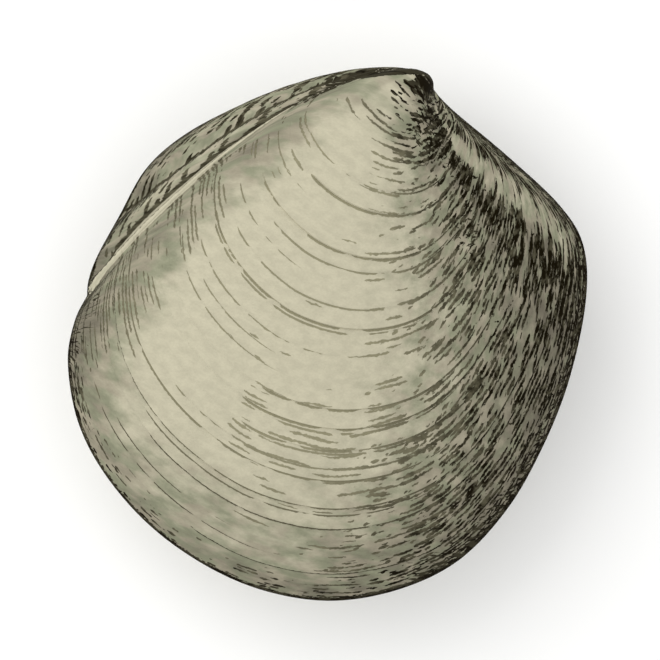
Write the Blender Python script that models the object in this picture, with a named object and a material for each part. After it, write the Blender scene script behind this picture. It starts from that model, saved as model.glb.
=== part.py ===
"""Fossil clam: two closed, solid valves of a rounded clam, lying on the left valve.

Both valves are grown as a real shell grows. The free margin is drawn once, and every earlier growth
stage is the same outline, smaller, tilted up about the hinge and turned a little around the beak.
Units are metres, +X is the front of the clam, +Y its hinge side and +Z up.
"""

import math

import bmesh
import bpy
import numpy as np
from mathutils import Vector
from mathutils.geometry import interpolate_bezier

for old in list(bpy.data.objects):
    bpy.data.objects.remove(old, do_unlink=True)

MM = 0.001

# Margin of a shell 72 mm high, in mm from the beak's tip: x forward, y towards the hinge side.
HINGE_MARGIN = [(-0.9, -0.9), (-5.3, -0.4), (-11.2, 0.1), (-17.3, -0.1), (-24.8, -2.8), (-32.7, -6.9),
                (-38.1, -11.6), (-41.8, -18.1), (-44.7, -23.4), (-45.9, -26.7), (-46.1, -28.8)]
LOWER_MARGIN = [(-46.1, -28.8), (-47.8, -32.3), (-48.7, -37.8), (-47.4, -45.6), (-43.9, -52.6),
                (-38.0, -59.5), (-30.5, -65.0), (-22.3, -68.6), (-13.2, -70.0), (-4.1, -68.5),
                (4.0, -64.6), (10.5, -57.8), (15.2, -49.7), (18.9, -40.5), (21.2, -30.0),
                (21.0, -22.3), (17.9, -16.8), (11.2, -10.4), (4.7, -5.0), (1.7, -3.0), (0.6, -2.0)]
POINTS_AROUND = 64
CURVE_STEPS = 12

# The points around lie closest together where the fold and its furrows need them.
CROWDED_PLACE = -0.025
CROWDED_WIDTH = 0.05
CROWDING = 1.5

# How the outline turned as it grew. A growth stage is the size of that outline over the full one.
HINGE_SLANT = math.radians(10.5)
TILT_RATE = 1 / 2.2
RIM_TILT = 0.22
RIM_SHARPNESS = 7
SPIRAL_RATE = 0.25
TIP_STAGE = 0.02
TIP_ROWS = 12
RIM_STAGE = 0.985
WIDEST_BAND = 0.045

# Growth halts: the stage, and how far the lip of the old margin stands over the later shell.
LEDGES = [(0.365, 0.30 * MM), (0.447, 0.30 * MM), (0.565, 0.50 * MM), (0.697, 0.30 * MM),
          (0.731, 0.35 * MM), (0.848, 0.60 * MM), (0.883, 0.40 * MM), (0.954, 0.45 * MM)]
LEDGE_WIDTH = 0.006
OLDEST_LEDGE = 0.3

# Fold and furrows from the beak to the notch of the rear margin: place and half width as parts of
# the margin's length, counted forward from the notch, and height.
FOLDS = [(0.0, 0.008, 0.5 * MM), (-0.013, 0.007, -0.9 * MM), (-0.034, 0.013, 0.3 * MM),
         (-0.058, 0.008, -0.6 * MM)]

PLAIN_EDGE = 2 * MM
PARTING_GAP = 0.3 * MM
REST_WEAR = 0.7 * MM
CREASE = math.radians(40)


def smooth_curve(points):
    """A Catmull-Rom curve through the points, as a dense polyline."""
    knots = [Vector((x, y, 0)) for x, y in points]
    slopes = [(after - before) / 6 for before, after in zip(knots[:1] + knots, knots[1:] + knots[-1:])]
    line = [knots[0]]
    for i in range(len(knots) - 1):
        line += interpolate_bezier(knots[i], knots[i] + slopes[i], knots[i + 1] - slopes[i + 1],
                                   knots[i + 1], CURVE_STEPS)[1:]
    return np.array([(point.x, point.y) for point in line]) * MM


def margin():
    """The full outline, closest near the fold, and each point's place counted from the notch."""
    hinge = smooth_curve(HINGE_MARGIN)
    line = np.vstack([hinge, smooth_curve(LOWER_MARGIN)[1:]])
    length = np.concatenate([[0], np.cumsum(np.hypot(*np.diff(line, axis=0).T))])
    place = (length - length[len(hinge) - 1]) / length[-1]
    density = 1 + CROWDING * np.exp(-((place - CROWDED_PLACE) / CROWDED_WIDTH) ** 2)
    crowd = np.concatenate([[0], np.cumsum(np.diff(place) * density[1:])])
    even = np.linspace(0, crowd[-1], POINTS_AROUND)
    outline = np.column_stack([np.interp(even, crowd, line[:, axis]) for axis in (0, 1)])
    return outline, np.interp(even, crowd, place)


def growth_stages():
    """Stages from the margin to the beak, with two stages at each ledge."""
    edges = [1.0, RIM_STAGE]
    for stage, _ in reversed(LEDGES):
        edges += [stage + LEDGE_WIDTH, stage]
    stages = [edges[0]]
    for outer, inner in zip(edges, edges[1:]):
        parts = math.ceil((outer - inner) / WIDEST_BAND)
        stages += list(np.linspace(outer, inner, parts + 1)[1:])
    return np.array(stages + list(np.geomspace(edges[-1], TIP_STAGE, TIP_ROWS)[1:]))


def grown_surface(outline, stages):
    """The smooth shell: one row of points for each stage."""
    age = np.log(1 / stages)[:, None]
    tilt = TILT_RATE * age + RIM_TILT * (1 - stages[:, None] ** RIM_SHARPNESS)
    along_hinge = np.array([math.cos(HINGE_SLANT), -math.sin(HINGE_SLANT)])
    away = np.array([-math.sin(HINGE_SLANT), -math.cos(HINGE_SLANT)])
    u, v = outline @ along_hinge, outline @ away
    flat = u[None, :, None] * along_hinge + (v * np.cos(tilt))[..., None] * away
    turn = SPIRAL_RATE * age
    x = np.cos(turn) * flat[..., 0] + np.sin(turn) * flat[..., 1]
    y = np.cos(turn) * flat[..., 1] - np.sin(turn) * flat[..., 0]
    return np.dstack([x, y, v * np.sin(tilt)]) * stages[:, None, None]


def relief(stages, place):
    """Height of ledges, folds and furrows over the smooth shell."""
    stage = stages[:, None]
    height = np.zeros((len(stages), len(place)))
    older = OLDEST_LEDGE
    for halt, lip in LEDGES:
        ramp = np.clip((stage - older) / (halt - older), 0, 1) ** 2
        height += lip * np.where(stage <= halt, ramp, 0) * (stage > older)
        older = halt
    for centre, half_width, tall in FOLDS:
        height += tall * stage * np.exp(-((place - centre) / half_width) ** 2)
    return height


def outward(points):
    """Unit normals of a grid of points whose rows close on themselves."""
    around = np.roll(points, -1, axis=1) - np.roll(points, 1, axis=1)
    normals = np.cross(around, np.gradient(points, axis=0))
    return normals / np.linalg.norm(normals, axis=2, keepdims=True)


def valve_points():
    """The right valve's outer surface, with its beak's tip at the origin and its margin at z 0."""
    outline, place = margin()
    stages = growth_stages()
    points = grown_surface(outline, stages)
    height = relief(stages, place) * np.clip(points[..., 2] / PLAIN_EDGE, 0, 1)
    return points + outward(points) * height[..., None]


def valve(name, points, location, colour):
    """A closed solid: the grown surface, a small cone to the beak's tip and a flat parting face."""
    closed = np.concatenate([points, points[:, :1]], axis=1)
    rows, columns = closed.shape[:2]
    bm = bmesh.new()
    bmesh.ops.create_grid(bm, x_segments=columns - 1, y_segments=rows - 1, size=1)
    for vert, point in zip(bm.verts, closed.reshape(-1, 3)):
        vert.co = point
    bmesh.ops.remove_doubles(bm, verts=bm.verts, dist=0.001 * MM)
    ends = bmesh.ops.holes_fill(bm, edges=[edge for edge in bm.edges if edge.is_boundary], sides=0)
    beak = min(ends["faces"], key=lambda face: face.calc_area())
    bmesh.ops.poke(bm, faces=[beak])["verts"][0].co = (0, 0, 0)
    bmesh.ops.recalc_face_normals(bm, faces=bm.faces)
    mesh = bpy.data.meshes.new(name)
    bm.to_mesh(mesh)
    bm.free()
    mesh.shade_smooth()
    mesh.set_sharp_from_angle(angle=CREASE)
    mesh.materials.append(fossil_material(name, colour))
    shell = bpy.data.objects.new(name, mesh)
    shell.location = location
    bpy.context.collection.objects.link(shell)


def fossil_material(name, colour):
    """Dull, finely worn shell stone."""
    material = bpy.data.materials.new(name)
    material.use_nodes = True
    shader = material.node_tree.nodes["Principled BSDF"]
    shader.inputs["Base Color"].default_value = (*colour, 1)
    shader.inputs["Roughness"].default_value = 0.75
    shader.inputs["Metallic"].default_value = 0
    return material


upper = valve_points()
depth = upper[..., 2].max()
lower = upper * (1, 1, -1)
lower[..., 2] = np.maximum(lower[..., 2], REST_WEAR - depth)

middle = (upper[..., :2].min(axis=(0, 1)) + upper[..., :2].max(axis=(0, 1))) / 2
parting = depth - REST_WEAR + PARTING_GAP
valve("right_valve", upper, (-middle[0], -middle[1], parting), (0.52, 0.49, 0.38))
valve("left_valve", lower, (-middle[0], -middle[1], parting - PARTING_GAP), (0.42, 0.40, 0.32))
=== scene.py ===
import math

import bmesh
import bpy
import numpy as np
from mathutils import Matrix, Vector, noise
from mathutils.geometry import interpolate_bezier


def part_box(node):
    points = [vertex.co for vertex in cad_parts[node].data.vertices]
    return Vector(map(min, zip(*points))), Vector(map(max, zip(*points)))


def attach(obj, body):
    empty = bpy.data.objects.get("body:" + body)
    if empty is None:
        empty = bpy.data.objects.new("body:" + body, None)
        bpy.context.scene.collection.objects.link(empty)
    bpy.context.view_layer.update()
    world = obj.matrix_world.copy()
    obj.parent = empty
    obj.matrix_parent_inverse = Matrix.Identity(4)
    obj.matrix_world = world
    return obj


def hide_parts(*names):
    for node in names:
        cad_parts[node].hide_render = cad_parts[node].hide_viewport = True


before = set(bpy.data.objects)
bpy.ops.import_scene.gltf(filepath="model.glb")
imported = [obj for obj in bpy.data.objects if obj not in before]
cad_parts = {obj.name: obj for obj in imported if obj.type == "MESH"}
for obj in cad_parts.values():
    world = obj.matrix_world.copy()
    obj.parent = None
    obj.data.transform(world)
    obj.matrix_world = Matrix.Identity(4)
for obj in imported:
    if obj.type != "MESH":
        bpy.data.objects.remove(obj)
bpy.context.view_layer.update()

# Right valve, the one on top: the picture shows the whole of its outside. A clam's shell is limy layers,
# added all along its free margin, so each growth line is the margin's outline again: smaller, tilted up
# about the hinge and turned a little around the beak. Long burial has turned shell and mud to stone.
MM = 0.001

# Margin of the full-grown shell in mm from the beak's tip: x forward, y towards the hinge side.
HINGE_MARGIN = [(-0.9, -0.9), (-5.3, -0.4), (-11.2, 0.1), (-17.3, -0.1), (-24.8, -2.8), (-32.7, -6.9),
                (-38.1, -11.6), (-41.8, -18.1), (-44.7, -23.4), (-45.9, -26.7), (-46.1, -28.8)]
LOWER_MARGIN = [(-46.1, -28.8), (-47.8, -32.3), (-48.7, -37.8), (-47.4, -45.6), (-43.9, -52.6),
                (-38.0, -59.5), (-30.5, -65.0), (-22.3, -68.6), (-13.2, -70.0), (-4.1, -68.5),
                (4.0, -64.6), (10.5, -57.8), (15.2, -49.7), (18.9, -40.5), (21.2, -30.0),
                (21.0, -22.3), (17.9, -16.8), (11.2, -10.4), (4.7, -5.0), (1.7, -3.0), (0.6, -2.0)]
CURVE_STEPS = 16

# The mesh has a column for each point around the margin. They lie closest together at the fold.
COLUMNS = 340
CROWDED_PLACE = -0.01
CROWDED_WIDTH = 0.03
CROWDING = 2.0

# How the outline turned as it grew. A growth stage is the size of that outline over the full one.
HINGE_SLANT = math.radians(10.5)
TILT_RATE = 1 / 2.2
RIM_TILT = 0.22
RIM_SHARPNESS = 7
SPIRAL_RATE = 0.25
TIP_STAGE = 0.02
STAGE_STEPS = 2000


def smooth_curve(points):
    """A Catmull-Rom curve through the points, as a dense polyline."""
    knots = [Vector((x, y, 0)) for x, y in points]
    slopes = [(after - before) / 6 for before, after in zip(knots[:1] + knots, knots[1:] + knots[-1:])]
    line = [knots[0]]
    for i in range(len(knots) - 1):
        line += interpolate_bezier(knots[i], knots[i] + slopes[i], knots[i + 1] - slopes[i + 1],
                                   knots[i + 1], CURVE_STEPS)[1:]
    return np.array([(point.x, point.y) for point in line]) * MM


def margin():
    """The full outline, each point's place counted forward from the notch, and the girth."""
    hinge = smooth_curve(HINGE_MARGIN)
    line = np.vstack([hinge, smooth_curve(LOWER_MARGIN)[1:]])
    length = np.concatenate([[0], np.cumsum(np.hypot(*np.diff(line, axis=0).T))])
    place = (length - length[len(hinge) - 1]) / length[-1]
    density = 1 + CROWDING * np.exp(-((place - CROWDED_PLACE) / CROWDED_WIDTH) ** 2)
    crowd = np.concatenate([[0], np.cumsum(np.diff(place) * density[1:])])
    even = np.linspace(0, crowd[-1], COLUMNS)
    outline = np.column_stack([np.interp(even, crowd, line[:, axis]) for axis in (0, 1)])
    return outline, np.interp(even, crowd, place), length[-1]


def grown_surface(outline, stages):
    """The smooth shell: a point for each growth stage of each point of the outline."""
    age = np.log(1 / stages)
    tilt = TILT_RATE * age + RIM_TILT * (1 - stages ** RIM_SHARPNESS)
    along_hinge = np.array([math.cos(HINGE_SLANT), -math.sin(HINGE_SLANT)])
    away = np.array([-math.sin(HINGE_SLANT), -math.cos(HINGE_SLANT)])
    u, v = outline @ along_hinge, outline @ away
    flat = u[None, :, None] * along_hinge + (v * np.cos(tilt))[..., None] * away
    turn = SPIRAL_RATE * age
    x = np.cos(turn) * flat[..., 0] + np.sin(turn) * flat[..., 1]
    y = np.cos(turn) * flat[..., 1] - np.sin(turn) * flat[..., 0]
    return np.dstack([x, y, v * np.sin(tilt)]) * stages[..., None]


def outward(points):
    """Unit normals of a grid of points whose rows close on themselves."""
    around = np.roll(points, -1, axis=1) - np.roll(points, 1, axis=1)
    normals = np.cross(np.gradient(points, axis=0), around)
    return normals / np.linalg.norm(normals, axis=2, keepdims=True)


# Growth is counted in mm down the shell from the beak, along the line to the lowest point.
outline, place, girth = margin()
stage_scale = np.geomspace(TIP_STAGE, 1, STAGE_STEPS)
lowest = outline[:, 1].argmin()
profile = grown_surface(outline[lowest:lowest + 1], stage_scale[:, None])[:, 0] / MM
growth_scale = np.concatenate([[0], np.cumsum(np.linalg.norm(np.diff(profile, axis=0), axis=1))])
FULL_GROWN = growth_scale[-1]

# Growth halts. When the animal paused, the old margin stayed as a lip over the later shell, and mud
# caught below it. Each halt: growth, height of the lip in mm, the places where its mud line starts and
# ends, and the line's width in mm.
ROWS = 290
LIP_STEP = 0.12
HALTS = [(23.0, 0.10, 0.11, 0.40, 0.22), (26.3, 0.30, 0.17, 0.42, 0.30), (28.6, 0.05, 0.04, 0.11, 0.18),
         (32.6, 0.30, 0.10, 0.38, 0.28), (34.6, 0.10, 0.16, 0.40, 0.26), (36.8, 0.06, 0.08, 0.15, 0.22),
         (39.6, 0.10, 0.12, 0.42, 0.22), (42.3, 0.35, 0.02, 0.50, 0.30), (42.9, 0.05, 0.09, 0.30, 0.22),
         (46.1, 0.08, 0.09, 0.21, 0.24), (48.2, 0.05, 0.12, 0.16, 0.20), (50.2, 0.08, 0.05, 0.16, 0.20),
         (53.1, 0.25, 0.22, 0.42, 0.30), (55.7, 0.30, 0.205, 0.42, 0.32), (56.3, 0.05, 0.24, 0.33, 0.24),
         (58.7, 0.15, 0.21, 0.42, 0.32), (59.2, 0.05, 0.25, 0.42, 0.22), (61.3, 0.10, 0.145, 0.36, 0.24),
         (63.0, 0.20, -0.003, 0.31, 0.32), (67.0, 0.45, 0.03, 0.48, 0.34), (68.2, 0.05, 0.13, 0.30, 0.22),
         (70.4, 0.35, 0.14, 0.62, 0.34), (74.3, 0.05, 0.11, 0.15, 0.20), (76.5, 0.10, 0.09, 0.17, 0.24),
         (78.9, 0.40, 0.19, 0.45, 0.42)]
LIP_REACH = 3.5
LIP_AROUND = [(0, 0.35), (0.1, 1), (0.3, 1), (0.42, 0.5), (0.6, 0.3)]
UNLINED_LIP = 0.3
LINE_STARTS_OVER = 0.004
LINE_ENDS_OVER = 0.1

# How far the growth lines dip behind the even growth where they cross the fold and the wing, and
# how the dip fades in on the young shell and out towards the margin.
DIP = [(-0.28, 9.0), (-0.12, 8.0), (-0.06, 5.5), (-0.035, 4.2), (-0.012, 3.4), (-0.002, 3.6), (0.005, 2.5),
       (0.01, 1.6), (0.02, 0.4), (0.035, -0.5), (0.06, -0.6), (0.13, 0.0), (0.22, 0.4), (0.33, 0.0),
       (0.45, -0.6), (0.72, -0.6)]
DIP_STARTS = (26, 42)
DIP_ENDS_OVER = 26

# Fold and furrows from the beak to the notch of the rear margin: place and half width as parts of
# the margin's length, counted forward from the notch, and height. The relief runs out at the parting.
FOLDS = [(-0.003, 0.006, 0.5 * MM), (-0.013, 0.006, -0.8 * MM), (-0.034, 0.013, 0.3 * MM),
         (-0.058, 0.008, -0.6 * MM)]
PLAIN_EDGE = 2 * MM

# The beak is worn back a little on its hinge side and in front: how much of the wear shows at places
# around the shell, and at growths down it.
BEAK_WEAR = 0.36 * MM
HINGE_WEAR = [(-0.16, 0), (-0.09, 1), (0.03, 1), (0.09, 0)]
HINGE_WEAR_GROWN = [(3, 0.3), (8, 1), (20, 1), (30, 0)]
FRONT_WEAR = [(0.30, 0), (0.40, 0.9), (0.56, 0.9), (0.68, 0)]
FRONT_WEAR_GROWN = [(1, 0), (4, 1), (9, 1), (16, 0)]

# Riblets along the growth lines, and soft swells and pits all over: height, size and seed.
RIBLET_HEIGHT = 0.05 * MM
RIBLETS_PER_MM = 1.1
RIBLET_PATCH = 12 * MM
RIBLET_CHANGE = 0.8
SWELLS = [(0.12 * MM, 9 * MM, 3), (0.02 * MM, 1.6 * MM, 5)]


def curve(value, points):
    """The value looked up on straight lines between the points."""
    return np.interp(value, [at for at, _ in points], [level for _, level in points])


def growth_rows():
    """Growth of each row, with a lip row and a foot row at each halt, and each point's stage."""
    rows = np.linspace(0, FULL_GROWN, ROWS)
    for halt, *_ in HALTS:
        nearest = np.abs(rows - halt).argmin()
        rows[nearest], rows[nearest + 1] = halt, halt + LIP_STEP
    fade = curve(rows, [(DIP_STARTS[0], 0), (DIP_STARTS[1], 1)])
    fade *= np.clip((FULL_GROWN - rows) / DIP_ENDS_OVER, 0, 1)
    reached = rows[:, None] + fade[:, None] * curve(place, DIP)
    return rows, np.interp(reached, growth_scale, stage_scale)


def unevenness(points, size, seed):
    """Soft random height of about -1 to 1 at each point of the grid."""
    offset = Vector((seed, seed * 2.3, 0))
    values = [noise.noise(Vector(point) + offset) for point in points.reshape(-1, 3) / size]
    return np.array(values).reshape(points.shape[:2])


def halt_relief(rows):
    """Height of the lips in mm, growth since the last halt, and that halt's line width."""
    height = np.zeros((ROWS, COLUMNS))
    since = np.full((ROWS, COLUMNS), FULL_GROWN)
    width = np.zeros((ROWS, COLUMNS))
    for growth, lip, first, last, line in HALTS:
        rise = np.clip(1 + (rows - growth) / LIP_REACH, 0, 1) ** 2 * (rows < growth + LIP_STEP / 2)
        shown = curve(place, [(first - LINE_STARTS_OVER, 0), (first + LINE_STARTS_OVER, 1), (last, 1),
                              (last + LINE_ENDS_OVER, 0)])
        height += rise[:, None] * lip * curve(place, LIP_AROUND) * (UNLINED_LIP + (1 - UNLINED_LIP) * shown)
        after = rows >= growth + LIP_STEP / 2
        since[after] = (rows[after] - growth - LIP_STEP)[:, None]
        width[after] = line * shown
    return height, since, width


# Where mud and weathering cling to the shell, and where shade is painted on it. Forward of an edge
# that runs down the shell from beside the beak, the surface is dark and densely lined: stain, together
# with painted shade of the side that faces away from the light. The rear fold has mud in its furrows and
# painted shade beside it, where the surface turns down into it; the hinge side of the beak carries
# painted shade where it turns away; the margin is dark with mud and with painted shade on its steep
# sides; and the two sides of a pale band before the front margin are dark with mud. The lists pair a
# place around the shell, a growth down it, or a place counted from one of those edges, with a place or
# an amount. The edges waver: by how much, in patches of what size, and the seed.
FRONT_EDGE = [(0, 0.12), (5, 0.17), (9, 0.22), (12, 0.255), (15, 0.285), (20, 0.33), (24, 0.35),
              (30, 0.358), (38, 0.37), (45, 0.368), (52, 0.36), (58, 0.338), (63, 0.326), (68, 0.316),
              (76, 0.308), (86, 0.285)]
BAND_INNER = [(4, 0.44), (8, 0.477), (13.5, 0.505), (19.5, 0.518), (25, 0.530), (32, 0.545), (45, 0.562),
              (52, 0.564), (58, 0.565), (66, 0.567), (75, 0.565), (86, 0.555)]
BAND_OUTER = [(4, 0.50), (8, 0.526), (16.5, 0.575), (25, 0.595), (36, 0.61), (58, 0.618), (66, 0.622),
              (75, 0.622), (86, 0.61)]
BAND_GROWN = [(4, 0), (9, 1), (70, 1), (84, 0.3)]
INNER_FADE = [(-0.006, 0), (0.012, 1)]
OUTER_FADE = [(-0.03, 1), (0.0, 0)]
WAVERS = [(0.010, 4 * MM, 7), (0.008, 1.2 * MM, 9)]

# The wing behind the fold, its furrows, and the dark line along the margin, of mud and of painted shade
# on steep sides that turn away: the line's width in mm at places around the shell, and how level a side
# still counts as steep and gets the painted shade.
WING = [(-0.012, 1), (-0.008, 0)]
FURROW_LINE = [(0, -0.006), (20, -0.012), (36, -0.0155), (60, -0.0170), (74, -0.0160), (85.5, -0.005)]
SECOND_FURROW = -0.057
MARGIN_LINE = [(-0.276, 0.34), (-0.12, 0.34), (-0.06, 0.60), (-0.02, 0.60), (0.0, 0.46), (0.25, 0.44),
               (0.33, 0.60), (0.42, 0.52), (0.5, 0.40), (0.724, 0.36)]
STEEP_SIDE = 0.30

# Dashes and spots keep their size as seen from above, so distances down a steep side count less,
# except near the margin, where lines crowd.
LEVEL_SIDE = 0.6
STEEPEST = 0.5
STEEPNESS_COUNTS = [(62, 1), (74, 0)]
DOWN_AT_BEAK = 0.01

# How dark the stone's tone is: by the front edge, stain together with painted shade; beside the fold
# and at the margin, painted shade; and darker at the beak.
FRONT_TONE = [(-0.10, 0.0), (-0.04, 0.10), (0.0, 0.26), (0.06, 0.48), (0.12, 0.66), (0.2, 0.80)]
# Beside the fold the tone is painted shade on the disc's flank, which turns down into the fold.
FOLD_TONE = [(-0.3, 0.56), (-0.085, 0.54), (-0.065, 0.50), (-0.052, 0.38), (-0.03, 0.38), (-0.012, 0.45),
             (-0.0085, 0.40), (-0.004, 0.60), (0.03, 0.66), (0.05, 0.55), (0.08, 0.25), (0.11, 0.0)]
FOLD_TONE_REACH = [(30, 1.35), (42, 1.0), (48, 1.02), (54, 1.12), (62, 1.0)]
FOLD_TONE_GROWN = [(3, 0.7), (18, 1), (36, 1), (42, 0.86), (54, 0.88), (62, 1)]
YOUNG_WING_TONE = [(18, 0.15), (28, 0)]
YOUNG_WING_EDGE = -0.012
# Towards the margin the stone is darkened with painted shade, where the shell turns down from the light.
MARGIN_PAINTED_SHADE = [(58, 0.0), (66, 0.08), (71, 0.24), (76, 0.36), (80, 0.48), (84, 0.56)]
MARGIN_PAINTED_SHADE_AROUND = [(0.55, 1), (0.59, 0.4)]
BEAK_TONE = [(6, 0.3), (22, 0)]
BAND_CLEANS_TONE = 0.5
YOUNG_SHELL_TONE = [(0.03, 0), (0.05, 1), (0.13, 1), (0.18, 0)]
YOUNG_SHELL_TONE_GROWN = [(5, 0.46), (11, 0.44), (14, 0.26), (24, 0.17), (32, 0)]
OUTSIDE_BAND_TONE = [(-0.012, 1), (0.006, 0.60)]

# How closely short dashes stand. Below 0 there are none. Forward of the front edge they crowd: stain,
# together with painted shade of the front side.
DASH_COVER = [(-0.10, -0.3), (-0.04, 0.04), (0.0, 0.24), (0.04, 0.44), (0.10, 0.60), (0.2, 0.66)]
MARGIN_DASHES = [(76, -0.3), (80, 0.08), (83, 0.32)]
LOWER_DASHES = [(0.26, 0), (0.33, 0.20), (0.5, 0.20), (0.56, 0)]
LOWER_DASHES_GROWN = [(75, 0), (79, 1)]
REAR_DASHES = [(0.0, 0.25), (0.06, 0.25), (0.11, 0)]
REAR_DASHES_GROWN = [(66, 0), (76, 1)]
BAND_CLEANS_DASHES = 0.45
WING_CLEANS_LINES = 1.2
OUTSIDE_BAND_GAPS = [(-0.012, 0), (0.006, 0.26)]
OUTSIDE_BAND_GAPS_GROWN = [(72, 1), (80, 0)]
INSIDE_BAND_GAPS = [(0.44, 0), (0.47, 0.10), (0.56, 0.10), (0.59, 0)]
INSIDE_BAND_GAPS_GROWN = [(52, 0), (55, 1), (64, 1), (68, 0)]

# How closely long lines stand, by the front edge and in three patches: on the young shell, beside
# the fold, and on the shell of middle growth.
LINE_COVER = [(-0.26, -0.3), (-0.16, 0.0), (-0.08, 0.24), (-0.02, 0.46), (0.04, 0.4), (0.10, 0.0)]
BAND_CLEANS_LINES = 0.35
LINE_PATCHES = [
    ([(0.03, -0.3), (0.06, 0.36), (0.14, 0.36), (0.18, -0.3)], [(14, 0), (17, 1), (32, 1), (36, 0)]),
    ([(-0.004, -0.3), (0.002, 0.55), (0.02, 0.70), (0.05, 0.60), (0.08, 0.48), (0.12, -0.3)],
     [(24, 0.1), (34, 0.25), (40, 1.1), (48, 1.0), (54, 0.75), (64, 0.88), (80, 0.72)]),
    ([(0.19, -0.3), (0.205, 0.50), (0.30, 0.60), (0.36, 0.0)],
     [(48, 0), (50, 0.5), (53, 0.6), (56, 1), (63, 1), (66, 0)])]

# How much of the surface lies under dark patches: mud in front, with painted shade of the front side
# among it, along the band's inner side, in patches before the beak, below it and along the margin, and
# outside the band; and painted shade behind the beak, on its hinge side, which turns away.
FRONT_MUD_AND_SHADE = [(-0.02, 0), (0.10, 1)]
FRONT_MUD_AND_SHADE_GROWN = [(14, 0.48), (30, 0.36)]
MIDDLE_MUD = [(0.44, 0), (0.46, 0.14), (0.49, 0.14), (0.51, 0)]
MIDDLE_MUD_GROWN = [(32, 0), (35, 1), (40, 1), (43, 0)]
INNER_SIDE_WIDTH = 0.014
INNER_SIDE_MUD = [(10, 0.60), (45, 0.552), (58, 0.504), (70, 0.444)]
BAND_CLEANS_MUD = 0.8
MUD_PATCHES = [
    ([(0.16, 0), (0.20, 0.64), (0.36, 0.66), (0.40, 0.54), (0.5, 0.44)], [(6, 1), (10, 0)]),
    ([(0.32, 0), (0.37, 0.56), (0.45, 0.58), (0.49, 0.40), (0.54, 0)],
     [(6, 0.8), (8, 1), (15, 0.92), (20, 0)]),
    ([(0.26, 0), (0.34, 1)], [(74, 0), (80, 0.40), (83, 0.54)]),
    ([(0.006, 0), (0.018, 1), (0.05, 0.96), (0.09, 0)], [(64, 0), (74, 0.47)])]
OUTER_SIDE_MUD = [(0.60, 0.47), (0.63, 0.54), (0.66, 0.60), (0.69, 0.68)]
OUTER_SIDE_STARTS = [(-0.012, 0), (0.006, 0.8), (0.02, 1)]
# Behind the beak the dark is painted shade on the hinge side of the beak, where it turns away.
BEHIND_BEAK_PAINTED_SHADE = [(-0.16, 0.46), (-0.07, 0.64), (-0.012, 0.76), (0.004, 0.68), (0.016, 0)]
BEHIND_BEAK_PAINTED_SHADE_GROWN = [(14, 1), (22, 0.88), (28, 0.70), (34, 0.0)]
BEHIND_BEAK_GROWN = 15
BEHIND_BEAK_WIDENS = 0.014
BETWEEN_FURROWS = [(-0.04, 0), (-0.032, 0.6), (-0.018, 0.6), (-0.012, 0)]
BETWEEN_FURROWS_GROWN = [(21, 0), (26, 1)]

# How dark the lines and dashes are: forward of the front edge, beside the fold, at the margin and at
# the beak. Forward of the front edge and at the margin the darker ink is stain together with painted shade.
FRONT_INK = [(-0.12, 0.0), (-0.03, 0.20), (0.0, 0.46), (0.03, 0.64), (0.08, 0.82), (0.15, 0.95),
             (0.22, 1.0)]
FRONT_INK_AROUND = [(0.54, 1.0), (0.58, 0.95)]
FOLD_INK = [(-0.3, 0.84), (-0.10, 0.84), (-0.06, 0.78), (-0.015, 0.76), (-0.003, 0.80), (0.003, 0.66),
            (0.03, 0.58), (0.06, 0.44), (0.12, 0.10)]
MARGIN_INK = [(60, 0.0), (72, 0.26), (80, 0.58), (85, 0.90)]
BEAK_INK = [(8, 1.0), (20, 0.0)]
BEAK_INK_AROUND = [(0.08, 0.78), (0.2, 1)]


def strongest(growth, patches):
    """The strongest of the patches, each an amount around the shell times one down it."""
    return np.max([curve(place, around) * curve(growth, grown) for around, grown in patches], axis=0)


def waviness(points, seed):
    """How far the edges of the band and of the mud beside it wander, as places around the shell."""
    return sum(reach * unevenness(points, size, seed + shift) for reach, size, shift in WAVERS)


def distance_down(growth, points):
    """Distance in mm down each column from the beak, shortened on steep sides."""
    level = np.clip(np.abs(outward(points)[..., 2]) / LEVEL_SIDE, STEEPEST, 1)
    level = 1 - (1 - level) * curve(growth, STEEPNESS_COUNTS)
    steps = np.linalg.norm(np.diff(points, axis=0), axis=2) / MM * level[1:]
    return np.vstack([np.zeros((1, COLUMNS)), np.cumsum(steps, axis=0)]) + DOWN_AT_BEAK


def weathered_and_painted_shade_tone(growth, forward, from_outer, band):
    """How dark the stone is, from 0 for clean to 1 for dark: weathered stone, with painted shade by the
    front edge, beside the fold and at the margin.
    """
    beside = place / np.where(place > 0, curve(growth, FOLD_TONE_REACH), 1)
    on_fold = curve(beside, FOLD_TONE) * curve(growth, FOLD_TONE_GROWN)
    on_fold += curve(growth, YOUNG_WING_TONE) * (place < YOUNG_WING_EDGE)
    tone = np.maximum(curve(forward, FRONT_TONE), on_fold)
    tone += curve(growth, MARGIN_PAINTED_SHADE) * (1 - tone) * curve(place, MARGIN_PAINTED_SHADE_AROUND)
    tone = np.maximum(tone, curve(growth, BEAK_TONE)) * (1 - BAND_CLEANS_TONE * band)
    tone = np.maximum(tone, curve(place, YOUNG_SHELL_TONE) * curve(growth, YOUNG_SHELL_TONE_GROWN))
    return tone * curve(from_outer, OUTSIDE_BAND_TONE)


def dash_cover(growth, forward, from_outer, band, wing):
    """How closely short dashes stand."""
    near_margin = curve(growth, MARGIN_DASHES)
    near_margin += curve(place, LOWER_DASHES) * curve(growth, LOWER_DASHES_GROWN)
    near_margin += curve(place, REAR_DASHES) * curve(growth, REAR_DASHES_GROWN)
    dashes = np.maximum(curve(forward, DASH_COVER), near_margin)
    dashes -= BAND_CLEANS_DASHES * band + WING_CLEANS_LINES * wing
    dashes -= curve(from_outer, OUTSIDE_BAND_GAPS) * curve(growth, OUTSIDE_BAND_GAPS_GROWN)
    return dashes - curve(place, INSIDE_BAND_GAPS) * curve(growth, INSIDE_BAND_GAPS_GROWN)


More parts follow.
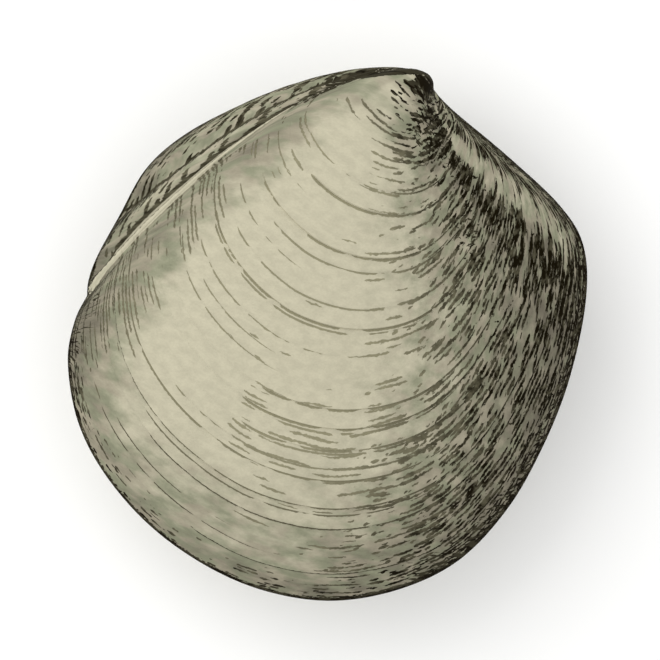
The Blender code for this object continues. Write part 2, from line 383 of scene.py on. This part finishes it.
def line_cover(growth, forward, band, wing):
    """How closely long lines stand."""
    by_edge = curve(forward, LINE_COVER) - BAND_CLEANS_LINES * band
    return np.maximum(by_edge, strongest(growth, LINE_PATCHES)) - WING_CLEANS_LINES * wing


def mud_and_painted_shade_amount(growth, forward, from_inner, from_outer, waver, band):
    """How much of the surface lies under dark patches: muddy ones, with painted shade among them in front,
    and painted shade behind the beak.
    """
    mud_and_shade = curve(forward, FRONT_MUD_AND_SHADE) * curve(growth, FRONT_MUD_AND_SHADE_GROWN)
    mud_and_shade += curve(place, MIDDLE_MUD) * curve(growth, MIDDLE_MUD_GROWN)
    inner_side = np.exp(-(from_inner / INNER_SIDE_WIDTH) ** 2) * curve(growth, INNER_SIDE_MUD)
    mud_and_shade = np.maximum(mud_and_shade, inner_side) * (1 - BAND_CLEANS_MUD * band)
    mud_and_shade = np.maximum(mud_and_shade, strongest(growth, MUD_PATCHES))
    outer_side = curve(place + waver, OUTER_SIDE_MUD) * curve(from_outer, OUTER_SIDE_STARTS)
    younger = BEHIND_BEAK_GROWN - np.minimum(growth, BEHIND_BEAK_GROWN)
    behind_beak = curve(place - BEHIND_BEAK_WIDENS * younger, BEHIND_BEAK_PAINTED_SHADE)
    behind_beak *= 1 - curve(place, BETWEEN_FURROWS) * curve(growth, BETWEEN_FURROWS_GROWN)
    behind_beak *= curve(growth, BEHIND_BEAK_PAINTED_SHADE_GROWN)
    return np.maximum(mud_and_shade, np.maximum(outer_side, behind_beak))


def line_ink(growth, forward):
    """How dark the lines and dashes are."""
    ink = curve(forward, FRONT_INK) * curve(place, FRONT_INK_AROUND)
    ink = np.maximum(ink, curve(place, FOLD_INK))
    beak_ink = curve(growth, BEAK_INK) * curve(place, BEAK_INK_AROUND)
    return 1 - (1 - ink) * (1 - curve(growth, MARGIN_INK)) * (1 - beak_ink)


def stains(rows, stages, points, seed):
    """What the surface carries at each point: distances in mm around and down the shell and from the
    furrows, how weathered and shaded, lined and muddy it is, with painted shade in its tone, its dark
    patches and its margin line, and how far off the margin's line is in its widths."""
    growth = np.repeat(rows[:, None], COLUMNS, axis=1)
    waver = waviness(points, seed)
    forward = place - curve(growth, FRONT_EDGE)
    from_inner = place - curve(growth, BAND_INNER) + waver
    from_outer = place - curve(growth, BAND_OUTER) + waver
    band = curve(from_inner, INNER_FADE) * curve(from_outer, OUTER_FADE) * curve(growth, BAND_GROWN)
    wing = curve(place, WING) * np.ones((ROWS, 1))
    off_margin = np.linalg.norm(points[..., :2] - points[-1:, :, :2], axis=2) / MM
    return {
        "growth": growth,
        "along": place * girth * stages / MM,
        "down": distance_down(growth, points),
        "tone": weathered_and_painted_shade_tone(growth, forward, from_outer, band),
        "ink": line_ink(growth, forward),
        "dashes": dash_cover(growth, forward, from_outer, band, wing),
        "long_lines": line_cover(growth, forward, band, wing),
        "wing": wing,
        "mud_and_shade_pools": mud_and_painted_shade_amount(growth, forward, from_inner, from_outer, waver, band),
        "furrow": (place - curve(growth, FURROW_LINE)) * girth * stages / MM,
        "second_furrow": (place - SECOND_FURROW) * girth * stages / MM,
        "margin_mud_and_shade_line": off_margin / curve(place, MARGIN_LINE),
    }


def shell_surface(seed):
    """Points of one valve above z 0, and what its surface carries at each."""
    rows, stages = growth_rows()
    points = grown_surface(outline, stages)
    carried = stains(rows, stages, points, seed)
    height, carried["since_halt"], carried["halt_width"] = halt_relief(rows)
    height *= MM
    for centre, half_width, tall in FOLDS:
        height += tall * stages * np.exp(-((place - centre) / half_width) ** 2)
    worn = curve(place, HINGE_WEAR) * curve(carried["growth"], HINGE_WEAR_GROWN)
    worn = np.maximum(worn, curve(place, FRONT_WEAR) * curve(carried["growth"], FRONT_WEAR_GROWN))
    height -= BEAK_WEAR * worn
    riblets = np.array([noise.noise(Vector((row * RIBLETS_PER_MM, seed, 0))) for row in rows])
    patchy = 1 + RIBLET_CHANGE * unevenness(points, RIBLET_PATCH, seed)
    height += RIBLET_HEIGHT * riblets[:, None] * patchy
    for tall, size, shift in SWELLS:
        height += tall * unevenness(points, size, seed + shift)
    height *= np.clip(points[..., 2] / PLAIN_EDGE, 0, 1)
    points += outward(points) * height[..., None]
    # Steep sides join the margin's dark line: painted shade where the surface turns away.
    steep = np.abs(outward(points)[..., 2]) / STEEP_SIDE
    carried["margin_mud_and_shade_line"] = np.minimum(carried["margin_mud_and_shade_line"], steep)
    return points, carried


SAME_POINT = 0.001 * MM
CREASE = math.radians(50)


def valve_mesh(name, points, attributes, move, flip):
    """A closed mesh from the grown surface, with a flat parting face and the beak's tip."""
    bm = bmesh.new()
    bmesh.ops.create_grid(bm, x_segments=COLUMNS, y_segments=ROWS - 1, size=1)
    closed = np.concatenate([points, points[:, :1]], axis=1).reshape(-1, 3)
    layers = {key: bm.verts.layers.float.new(key) for key in attributes}
    values = {key: np.concatenate([grid, grid[:, -1:]], axis=1).ravel()
              for key, grid in attributes.items()}
    for index, vert in enumerate(bm.verts):
        vert.co = closed[index]
        for key, layer in layers.items():
            vert[layer] = values[key][index]
    bmesh.ops.remove_doubles(bm, verts=bm.verts, dist=SAME_POINT)
    ends = bmesh.ops.holes_fill(bm, edges=[edge for edge in bm.edges if edge.is_boundary], sides=0)
    beak = min(ends["faces"], key=lambda face: face.calc_area())
    bmesh.ops.poke(bm, faces=[beak])["verts"][0].co = (0, 0, 0)
    if flip:
        bmesh.ops.scale(bm, vec=(1, 1, -1), verts=bm.verts)
    bmesh.ops.translate(bm, vec=move, verts=bm.verts)
    bmesh.ops.recalc_face_normals(bm, faces=bm.faces)
    mesh = bpy.data.meshes.new(name)
    bm.to_mesh(mesh)
    bm.free()
    mesh.shade_smooth()
    mesh.set_sharp_from_angle(angle=CREASE)
    return mesh


# The surface of the stone: cream where it is clean, mottled grey-green and pinkish grey where it is
# weathered and where shade is painted, dark grey-brown at the front, which is stain together with
# painted shade of the front side, with iron-brown mud left in the lines and furrows.
CREAM = (0.47, 0.44, 0.325, 1)
GREEN_GREY = (0.227, 0.232, 0.156, 1)
PINK_GREY = (0.300, 0.272, 0.200, 1)
DARK_GREY = (0.140, 0.126, 0.094, 1)
PALE_LINE = (0.27, 0.25, 0.16, 1)
DARK_LINE = (0.0065, 0.0045, 0.001, 1)

# It is dull all over. Lines lie a little lower than the stone, and its grain is a little uneven.
ROUGHNESS = 0.58
GRAIN_ROUGHNESS = 0.3
SHINE = 0.02
BUMP_DEPTH = 0.05 * MM
BUMP_STRENGTH = 0.8
GRAIN_DEPTH = 0.35

# Five layers of lines: spacing in mm of growth, length and width of a dash in mm, and seed. Streaks
# are those of the wing. Then how far lines drift and wobble off the even growth, in mm.
FINE_LINES = (0.72, 3.4, 0.34, 11.0)
MIDDLE_LINES = (1.15, 3.2, 0.42, 31.0)
WIDE_LINES = (2.1, 3.6, 0.56, 37.0)
LONG_LINES = (0.95, 11.0, 0.26, 57.0)
STREAKS = (3.4, 3.0, 0.75, 83.0)
LINE_DRIFT = 1.3
LINE_WOBBLE = 0.38

# The crest of the fold is pale between these growths, over these widths in mm. Then the half
# width of the mud in a furrow, the growths over which halt lines darken, and the darkness of mud and of
# painted shade.
CREST_GROWN = (20.0, 60.0)
CREST_WIDTH = (0.6, 3.5)
FURROW_MUD = (0.16, 0.50)
HALT_INK_GROWN = (56.0, 76.0)
HALT_INK = 0.72
MUD_AND_SHADE_INK = 0.9

# Sizes in mm, around and down the shell, of the patches in which each of these changes.
DRIFT_PATCH = (9.0, 9.0)
WOBBLE_PATCH = (0.55, 0.45)
CLUMP_PATCH = (8.0, 4.0)
TORN_LINE_PATCH = (0.9, 0.6)
POOL_PATCH = (2.6, 0.7)
CLOUD_PATCH = (7.0, 5.0)
WEATHERED_PATCH = (3.6, 2.2)
HUE_PATCH = (4.5, 3.0)
FINE_GRAIN = (0.35, 0.30)
COARSE_GRAIN = (1.8, 1.2)
TORN_EDGE_PATCH = (0.5, 0.4)
WORN_PATCH = (5.0, 3.0)
FURROW_PATCH = (30.0, 2.6)
INK_PATCH = (3.0, 1.4)


def add(tree, kind, inputs=None, **settings):
    """A new node with its settings, and its sockets linked or set by name or number."""
    made = tree.nodes.new(kind)
    for name, value in settings.items():
        setattr(made, name, value)
    for socket, value in (inputs or {}).items():
        if isinstance(value, bpy.types.NodeSocket):
            tree.links.new(value, made.inputs[socket])
        else:
            made.inputs[socket].default_value = value
    return made


def calc(tree, operation, *values, clamp=False):
    """The result of one math node."""
    made = add(tree, "ShaderNodeMath", dict(enumerate(values)), operation=operation)
    made.use_clamp = clamp
    return made.outputs[0]


def ramp(tree, value, low, high, start=0.0, end=1.0):
    """Smooth change from start to end as the value goes from low to high."""
    sockets = {"Value": value, "From Min": low, "From Max": high, "To Min": start, "To Max": end}
    return add(tree, "ShaderNodeMapRange", sockets, interpolation_type="SMOOTHSTEP").outputs[0]


def mottle(tree, vector, detail=2.0, roughness=0.5, dimensions="3D"):
    """Soft noise of about 0.3 to 0.7, with patches of size 1 in the given coordinates."""
    sockets = {"Vector": vector, "Scale": 1.0, "Detail": detail, "Roughness": roughness}
    return add(tree, "ShaderNodeTexNoise", sockets, noise_dimensions=dimensions).outputs[0]


def blend(tree, amount, first, second, blend_type="MIX"):
    """The first colour, mixed or multiplied by the amount with the second."""
    made = add(tree, "ShaderNodeMix", {0: amount, 6: first, 7: second}, data_type="RGBA")
    made.blend_type = blend_type
    return made.outputs[2]


def on_shell(tree, given, patch):
    """Coordinates on the shell's skin, in which a patch has size 1."""
    return add(tree, "ShaderNodeCombineXYZ", {0: calc(tree, "DIVIDE", given["Along"], patch[0]),
                                              1: calc(tree, "DIVIDE", given["Down"], patch[1]),
                                              2: given["Seed"]}).outputs[0]


def group(name, inputs, outputs):
    """An empty node group, and the sockets of its two end nodes."""
    tree = bpy.data.node_groups.new(name, "ShaderNodeTree")
    for socket, value in inputs.items():
        kind = "NodeSocketColor" if isinstance(value, tuple) else "NodeSocketFloat"
        tree.interface.new_socket(socket, in_out="INPUT", socket_type=kind).default_value = value
    for socket, kind in outputs.items():
        tree.interface.new_socket(socket, in_out="OUTPUT", socket_type=kind)
    return tree, add(tree, "NodeGroupInput").outputs, add(tree, "NodeGroupOutput").inputs


def growth_lines_group():
    """Broken lines along the growth. Each has its own place, dashes and width. The spacing is in mm of
    growth, and the dash and width in mm on the surface. Crowding is mm of growth for each of those."""
    tree, given, result = group(
        "growth_lines",
        {"Growth": 0.0, "Along": 0.0, "Down": 0.0, "Cover": 0.5, "Spacing": 0.8, "Dash": 6.0, "Width": 0.3,
         "Seed": 0.0},
        {"Line": "NodeSocketFloat"})
    crowding = calc(tree, "DIVIDE", given["Growth"], given["Down"])
    drift = calc(tree, "MULTIPLY_ADD", mottle(tree, on_shell(tree, given, DRIFT_PATCH)), LINE_DRIFT,
                 given["Growth"])
    wobble = calc(tree, "MULTIPLY", mottle(tree, on_shell(tree, given, WOBBLE_PATCH)), crowding)
    cell = calc(tree, "DIVIDE", calc(tree, "MULTIPLY_ADD", wobble, LINE_WOBBLE, drift), given["Spacing"])
    number = calc(tree, "FLOOR", cell)
    chance = add(tree, "ShaderNodeTexWhiteNoise",
                 {"W": calc(tree, "ADD", number, given["Seed"])}, noise_dimensions="1D").outputs["Value"]
    centre = calc(tree, "MULTIPLY_ADD", chance, 0.4, 0.3)
    off_centre = calc(tree, "ABSOLUTE", calc(tree, "SUBTRACT", calc(tree, "FRACT", cell), centre))
    off_line = calc(tree, "DIVIDE", calc(tree, "MULTIPLY", off_centre, given["Spacing"]), crowding)
    dash_place = add(tree, "ShaderNodeCombineXYZ", {
        0: calc(tree, "MULTIPLY_ADD", chance, 61.0, calc(tree, "DIVIDE", given["Along"], given["Dash"])),
        1: calc(tree, "MULTIPLY_ADD", number, 7.3, given["Seed"])}).outputs[0]
    strength = mottle(tree, dash_place, 2.5, 0.6, "2D")
    clumps = mottle(tree, on_shell(tree, given, CLUMP_PATCH), 2.0, 0.6)
    missing = calc(tree, "MULTIPLY_ADD", given["Cover"], -0.46, 0.73)
    missing = calc(tree, "MULTIPLY_ADD", calc(tree, "SUBTRACT", clumps, 0.5),
                   ramp(tree, given["Cover"], -0.1, 0.3, 0.0, 0.55), missing)
    over = calc(tree, "SUBTRACT", strength, missing)
    torn_place = add(tree, "ShaderNodeVectorMath",
                     {0: on_shell(tree, given, TORN_LINE_PATCH), 1: (3.7, 8.1, 5.3)}).outputs[0]
    torn = ramp(tree, mottle(tree, torn_place), 0.3, 0.7, 0.65, 1.45)
    swell = calc(tree, "MULTIPLY", ramp(tree, over, 0.0, 0.08, 0.35, 1.2), torn)
    half = calc(tree, "MULTIPLY", calc(tree, "MULTIPLY", swell, given["Width"]), 0.5)
    line = ramp(tree, calc(tree, "SUBTRACT", half, off_line), -0.05, 0.05)
    tree.links.new(calc(tree, "MULTIPLY", line, ramp(tree, over, 0.0, 0.012)), result["Line"])
    return tree


def mud_and_shade_patches_group():
    """Ragged dark patches, muddy ones and painted shade. An amount of 0.4 leaves a few, and 0.7 covers
    nearly all.
    """
    tree, given, result = group("mud_and_shade_patches", {"Along": 0.0, "Down": 0.0, "Amount": 0.5, "Seed": 0.0},
                                {"Mud_and_shade": "NodeSocketFloat"})
    patches = mottle(tree, on_shell(tree, given, POOL_PATCH), 2.0, 0.6)
    tree.links.new(ramp(tree, calc(tree, "ADD", patches, given["Amount"]), 1.03, 1.07), result["Mud_and_shade"])
    return tree


def weathered_and_painted_shade_colour_group():
    """The stone's colour from clean to dark, with mottled grey-green and pinkish grey between. Its darker
    end stands for weathered stone and for painted shade alike.
    """
    tree, given, result = group(
        "weathered_and_painted_shade_colour",
        {"Along": 0.0, "Down": 0.0, "Tone": 0.5, "Seed": 0.0, "Clean": CREAM, "Green": GREEN_GREY,
         "Pink": PINK_GREY, "Dark": DARK_GREY},
        {"Colour": "NodeSocketColor", "Depth": "NodeSocketFloat"})
    cloud = mottle(tree, on_shell(tree, given, CLOUD_PATCH))
    patch = mottle(tree, on_shell(tree, given, WEATHERED_PATCH), 3.0, 0.6)
    uneven = calc(tree, "ADD", calc(tree, "MULTIPLY_ADD", cloud, 0.8, -0.4),
                  calc(tree, "MULTIPLY_ADD", patch, 0.7, -0.35))
    spread = ramp(tree, given["Tone"], 0.0, 0.3, 0.28, 1.0)
    depth = calc(tree, "MULTIPLY_ADD", uneven, spread, given["Tone"], clamp=True)
    hue = mottle(tree, on_shell(tree, given, HUE_PATCH))
    middle = blend(tree, ramp(tree, hue, 0.42, 0.60), given["Green"], given["Pink"])
    light_side = blend(tree, ramp(tree, depth, 0.0, 0.55), given["Clean"], middle)
    tree.links.new(blend(tree, ramp(tree, depth, 0.45, 1.0), light_side, given["Dark"]), result["Colour"])
    tree.links.new(depth, result["Depth"])
    return tree


def stone_grain_group():
    """Fine and coarse speckle of worn stone, around 1 for colour and 0 to 1 for height."""
    tree, given, result = group("stone_grain", {"Along": 0.0, "Down": 0.0, "Seed": 0.0},
                                {"Shade": "NodeSocketFloat", "Height": "NodeSocketFloat"})
    fine = mottle(tree, on_shell(tree, given, FINE_GRAIN), 2.0, 0.6)
    coarse = mottle(tree, on_shell(tree, given, COARSE_GRAIN))
    shade = calc(tree, "MULTIPLY", ramp(tree, fine, 0.3, 0.7, 0.96, 1.03),
                 ramp(tree, coarse, 0.3, 0.7, 0.94, 1.05))
    tree.links.new(shade, result["Shade"])
    tree.links.new(fine, result["Height"])
    return tree


growth_lines = growth_lines_group()
mud_and_shade_patches = mud_and_shade_patches_group()
weathered_and_painted_shade_colour = weathered_and_painted_shade_colour_group()
stone_grain = stone_grain_group()


def fossil_material(name, seed, **colours):
    """The valve's stone, by what its surface carries. Its colours can be replaced by name."""
    material = bpy.data.materials.new(name)
    material.use_nodes = True
    tree = material.node_tree
    shader = tree.nodes["Principled BSDF"]
    carried = {}
    for key in ("growth", "along", "down", "tone", "ink", "dashes", "long_lines", "wing", "mud_and_shade_pools", "furrow",
                "second_furrow", "margin_mud_and_shade_line", "since_halt", "halt_width"):
        carried[key] = add(tree, "ShaderNodeAttribute", attribute_name=key).outputs["Fac"]
    skin = {"Along": carried["along"], "Down": carried["down"]}

    def lines(cover, layer):
        """One layer of broken lines."""
        spacing, dash, width, shift = layer
        sockets = {**skin, "Growth": carried["growth"], "Cover": cover, "Spacing": spacing, "Dash": dash,
                   "Width": width, "Seed": seed + shift}
        return add(tree, "ShaderNodeGroup", sockets, node_tree=growth_lines).outputs["Line"]

    # The crest of the fold, just before the furrow, is pale, and the pale strip widens as the shell grows.
    ridge_edge = ramp(tree, carried["growth"], *CREST_GROWN, *CREST_WIDTH)
    torn = mottle(tree, on_shell(tree, {**skin, "Seed": seed}, TORN_EDGE_PATCH))
    off_edge = calc(tree, "MULTIPLY_ADD", torn, 0.6, calc(tree, "SUBTRACT", carried["furrow"], ridge_edge))
    off_edge = calc(tree, "SUBTRACT", off_edge, 0.3)
    covered = calc(tree, "MAXIMUM", ramp(tree, off_edge, -0.07, 0.07),
                   ramp(tree, carried["furrow"], 0.22, 0.12))
    covered = calc(tree, "MULTIPLY_ADD", covered, 0.85, 0.15)
    tone = calc(tree, "MULTIPLY", carried["tone"], covered)
    stone = add(tree, "ShaderNodeGroup", {**skin, "Tone": tone, "Seed": seed, **colours},
                node_tree=weathered_and_painted_shade_colour)
    grain = add(tree, "ShaderNodeGroup", {**skin, "Seed": seed}, node_tree=stone_grain)
    mud_and_shade = add(tree, "ShaderNodeGroup", {**skin, "Amount": carried["mud_and_shade_pools"], "Seed": seed + 5.0},
              node_tree=mud_and_shade_patches).outputs["Mud_and_shade"]

    # Broken lines of mud. Where the growth lines crowd, fine ones give way to wide ones.
    crowding = calc(tree, "DIVIDE", carried["growth"], carried["down"])
    fine_cover = calc(tree, "SUBTRACT", carried["dashes"], ramp(tree, crowding, 1.15, 1.6))
    wide_cover = calc(tree, "SUBTRACT", carried["dashes"], ramp(tree, crowding, 2.3, 1.5))
    streak_cover = calc(tree, "MULTIPLY_ADD", carried["wing"], 0.85, -0.3)
    line = lines(fine_cover, FINE_LINES)
    for cover, layer in ((carried["dashes"], MIDDLE_LINES), (wide_cover, WIDE_LINES),
                         (carried["long_lines"], LONG_LINES), (streak_cover, STREAKS)):
        line = calc(tree, "MAXIMUM", line, lines(cover, layer))

    # Mud lines at the growth halts, worn off in places.
    worn = mottle(tree, on_shell(tree, {**skin, "Seed": seed}, WORN_PATCH), 2.0, 0.6)
    halt_width = calc(tree, "MULTIPLY", carried["halt_width"], ramp(tree, worn, 0.36, 0.50))
    since_halt = calc(tree, "DIVIDE", carried["since_halt"], crowding)
    halt_edge = calc(tree, "MULTIPLY_ADD", torn, 0.30, calc(tree, "SUBTRACT", since_halt, 0.15))
    halt = ramp(tree, calc(tree, "SUBTRACT", halt_width, halt_edge), -0.04, 0.04)
    halt = calc(tree, "MULTIPLY", halt, ramp(tree, halt_width, 0.05, 0.10))
    line = calc(tree, "MAXIMUM", line, halt)

    # Mud in the two furrows, and the dark line along the margin: mud there, and painted shade on its steep
    # sides.
    for furrow, shift in (("furrow", 2.0), ("second_furrow", 9.0)):
        centre = calc(tree, "MULTIPLY_ADD", torn, 0.5, calc(tree, "SUBTRACT", carried[furrow], 0.25))
        swell = mottle(tree, on_shell(tree, {**skin, "Seed": seed + shift}, FURROW_PATCH), 1.0)
        width = ramp(tree, swell, 0.36, 0.56, *FURROW_MUD)
        mud_line = ramp(tree, calc(tree, "SUBTRACT", width, calc(tree, "ABSOLUTE", centre)), -0.05, 0.05)
        line = calc(tree, "MAXIMUM", line, mud_line)
    line = calc(tree, "MULTIPLY", line, covered)
    rim_mud_and_shade = ramp(tree, calc(tree, "MULTIPLY_ADD", torn, 2.0, carried["margin_mud_and_shade_line"]), 2.05, 1.85)
    line = calc(tree, "MAXIMUM", calc(tree, "MAXIMUM", line, rim_mud_and_shade), mud_and_shade)

    # How dark the lines are changes in patches. Mud patches, the painted shade behind the beak and the
    # margin's line of mud and painted shade are nearly black.
    patchy = mottle(tree, on_shell(tree, {**skin, "Seed": seed + 4.0}, INK_PATCH), 2.0, 0.6)
    ink_depth = calc(tree, "MULTIPLY", carried["ink"], ramp(tree, patchy, 0.3, 0.7, 0.78, 1.22), clamp=True)
    halt_ink = calc(tree, "MULTIPLY", halt, ramp(tree, carried["growth"], *HALT_INK_GROWN, 0.0, HALT_INK))
    ink_depth = calc(tree, "MAXIMUM", ink_depth, halt_ink)
    mud_ink = calc(tree, "MULTIPLY", calc(tree, "MAXIMUM", mud_and_shade, rim_mud_and_shade), MUD_AND_SHADE_INK)
    stain = blend(tree, calc(tree, "MAXIMUM", ink_depth, mud_ink), PALE_LINE, DARK_LINE)

    colour = blend(tree, line, stone.outputs["Colour"], stain)
    colour = blend(tree, 1.0, colour, grain.outputs["Shade"], "MULTIPLY")
    tree.links.new(colour, shader.inputs["Base Color"])
    roughness = calc(tree, "MULTIPLY_ADD", grain.outputs["Height"], GRAIN_ROUGHNESS, ROUGHNESS)
    tree.links.new(roughness, shader.inputs["Roughness"])
    shader.inputs["Specular IOR Level"].default_value = SHINE
    tall = calc(tree, "MULTIPLY_ADD", line, -1.0,
                calc(tree, "MULTIPLY", grain.outputs["Height"], GRAIN_DEPTH))
    bump = add(tree, "ShaderNodeBump", {"Height": tall, "Distance": BUMP_DEPTH, "Strength": BUMP_STRENGTH})
    tree.links.new(bump.outputs[0], shader.inputs["Normal"])
    return material


# The right valve's mesh goes where its solid is: on the same lower margin, and midway between the
# solid's front and rear.
RIGHT_SEED = 3.0
upper_points, upper_attributes = shell_surface(RIGHT_SEED)
right_low, right_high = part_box("right_valve")
middle_x = (upper_points[..., 0].min() + upper_points[..., 0].max()) / 2
beak_place = Vector(((right_low[0] + right_high[0]) / 2 - middle_x,
                     right_low[1] - upper_points[..., 1].min(), right_low[2]))
right_valve = bpy.data.objects.new(
    "right_valve_shell", valve_mesh("right_valve_shell", upper_points, upper_attributes, beak_place, False))
bpy.context.collection.objects.link(right_valve)
right_valve.data.materials.append(fossil_material("upper_fossil_stone", RIGHT_SEED))
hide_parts("right_valve")
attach(right_valve, "root")

# Left valve, the one below: the right one's mirror image, of the same stone, with stains of its own
# and browner from the ground that it lay in. The rock inside holds both valves closed. Its lowest
# point is worn flat, so that the shell lies still.
LEFT_SEED = 8.0
BROWNER_STONE = (0.43, 0.39, 0.28, 1)
lower_points, lower_attributes = shell_surface(LEFT_SEED)
left_low, left_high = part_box("left_valve")
worn_height = left_high[2] - left_low[2]
lower_points[..., 2] = np.minimum(lower_points[..., 2], worn_height)
left_valve = bpy.data.objects.new(
    "left_valve_shell", valve_mesh("left_valve_shell", lower_points, lower_attributes,
                                   Vector((beak_place.x, beak_place.y, left_high[2])), True))
bpy.context.collection.objects.link(left_valve)
left_valve.data.materials.append(fossil_material("lower_fossil_stone", LEFT_SEED, Clean=BROWNER_STONE))
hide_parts("left_valve")
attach(left_valve, "root")

# Floor: plain, pale and dull, and it reaches out of the picture on all sides.
FLOOR_HALF = 3.0
FLOOR_COLOUR = (0.97, 0.97, 0.96, 1)
FLOOR_ROUGHNESS = 0.9
floor_mesh = bpy.data.meshes.new("floor")
bm = bmesh.new()
bmesh.ops.create_grid(bm, x_segments=1, y_segments=1, size=FLOOR_HALF)
bm.to_mesh(floor_mesh)
bm.free()
floor = bpy.data.objects.new("floor", floor_mesh)
bpy.context.collection.objects.link(floor)
floor_paint = bpy.data.materials.new("pale_floor")
floor_paint.use_nodes = True
floor_shader = floor_paint.node_tree.nodes["Principled BSDF"]
floor_shader.inputs["Base Color"].default_value = FLOOR_COLOUR
floor_shader.inputs["Roughness"].default_value = FLOOR_ROUGHNESS
floor_mesh.materials.append(floor_paint)

# Light: a soft key from the upper left of the picture, and an even white surround.
KEY_PLACE = (-0.40, 0.34, 0.52)
KEY_SIZE = 0.7
KEY_ENERGY = 2.0
SURROUND_STRENGTH = 1.02
world = bpy.data.worlds.new("studio")
world.use_nodes = True
surround = world.node_tree.nodes["Background"]
surround.inputs["Color"].default_value = (1, 1, 1, 1)
surround.inputs["Strength"].default_value = SURROUND_STRENGTH
bpy.context.scene.world = world
key = bpy.data.objects.new("key_light", bpy.data.lights.new("key_light", "AREA"))
key.data.size = KEY_SIZE
key.data.energy = KEY_ENERGY
key.location = KEY_PLACE
key.rotation_euler = (-key.location).to_track_quat("-Z", "Y").to_euler()
bpy.context.collection.objects.link(key)

# Camera: straight above the shell with a long lens. It frames the shell as the picture does, by the
# shell's width and middle in the picture's pixels.
PICTURE_SIZE = 660
SHELL_WIDTH_PX = 519
SHELL_MIDDLE_PX = (327.5, 333.5)
CAMERA_HEIGHT = 1.0
pixel = (right_high[0] - right_low[0]) / SHELL_WIDTH_PX
camera = bpy.data.objects.new("camera", bpy.data.cameras.new("camera"))
camera.data.lens = camera.data.sensor_width * CAMERA_HEIGHT / (PICTURE_SIZE * pixel)
camera.location = ((PICTURE_SIZE / 2 - SHELL_MIDDLE_PX[0]) * pixel,
                   (SHELL_MIDDLE_PX[1] - PICTURE_SIZE / 2) * pixel, right_low[2] + CAMERA_HEIGHT)
bpy.context.collection.objects.link(camera)
bpy.context.scene.camera = camera
bpy.context.scene.view_settings.view_transform = "Standard"
